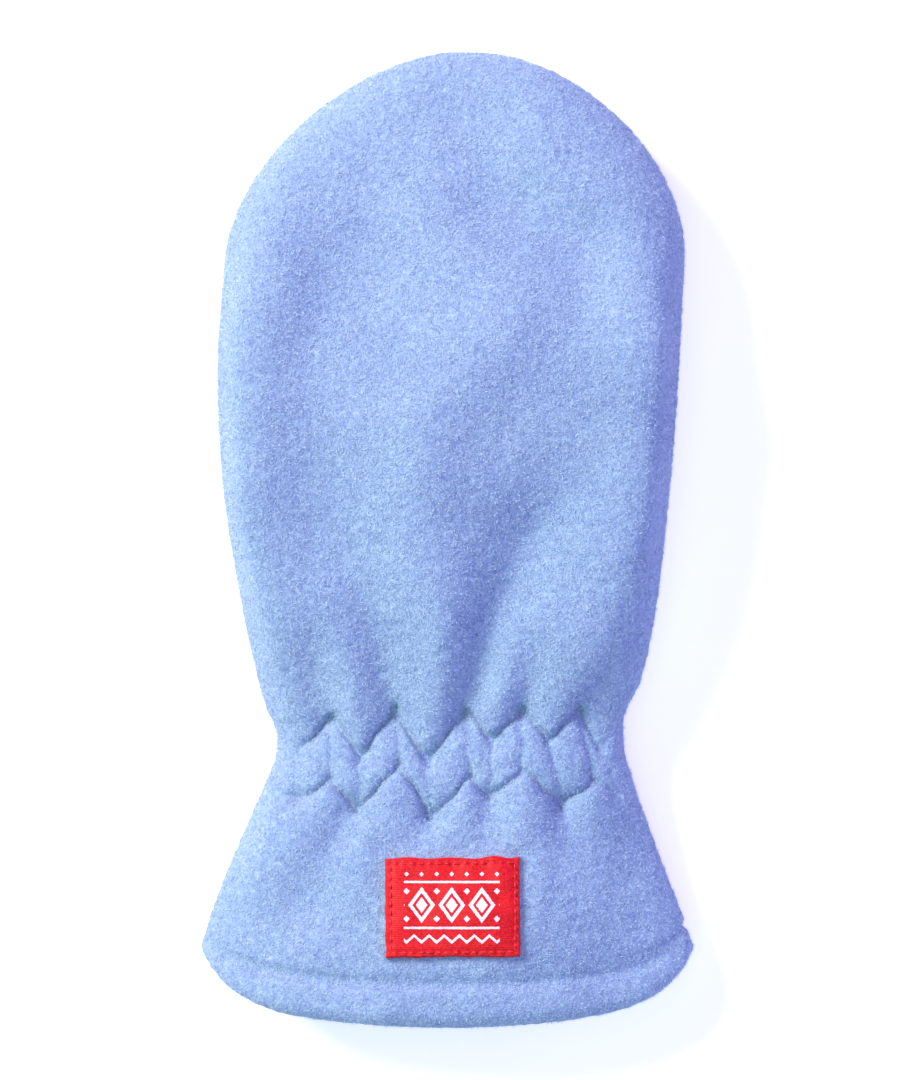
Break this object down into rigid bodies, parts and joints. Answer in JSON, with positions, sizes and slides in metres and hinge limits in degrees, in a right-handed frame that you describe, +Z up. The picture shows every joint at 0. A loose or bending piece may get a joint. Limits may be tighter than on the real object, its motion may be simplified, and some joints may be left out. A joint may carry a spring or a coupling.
{
  "type": "baby mitten",
  "caption": "Thumbless baby mitten in thick fleece: round tip, zigzag-gathered wrist, flared cuff with a turned-up hem, small woven label.",
  "frame": {"origin": "centre of the mitten's footprint, on the surface it lies on", "axes": "+Z up out of the front panel, +Y towards the fingertips, +X to the right as seen from above"},
  "size_m": [0.0764, 0.15, 0.0249],
  "materials": {
    "fleece": "thick polar fleece with a soft, slightly pilled nap, light periwinkle blue",
    "woven_label": "fine red woven ribbon with white pattern threads"
  },
  "bodies": {
    "root": {"front_panel": "fleece", "back_panel": "fleece", "label": "woven_label"}
  },
  "joints": []
}
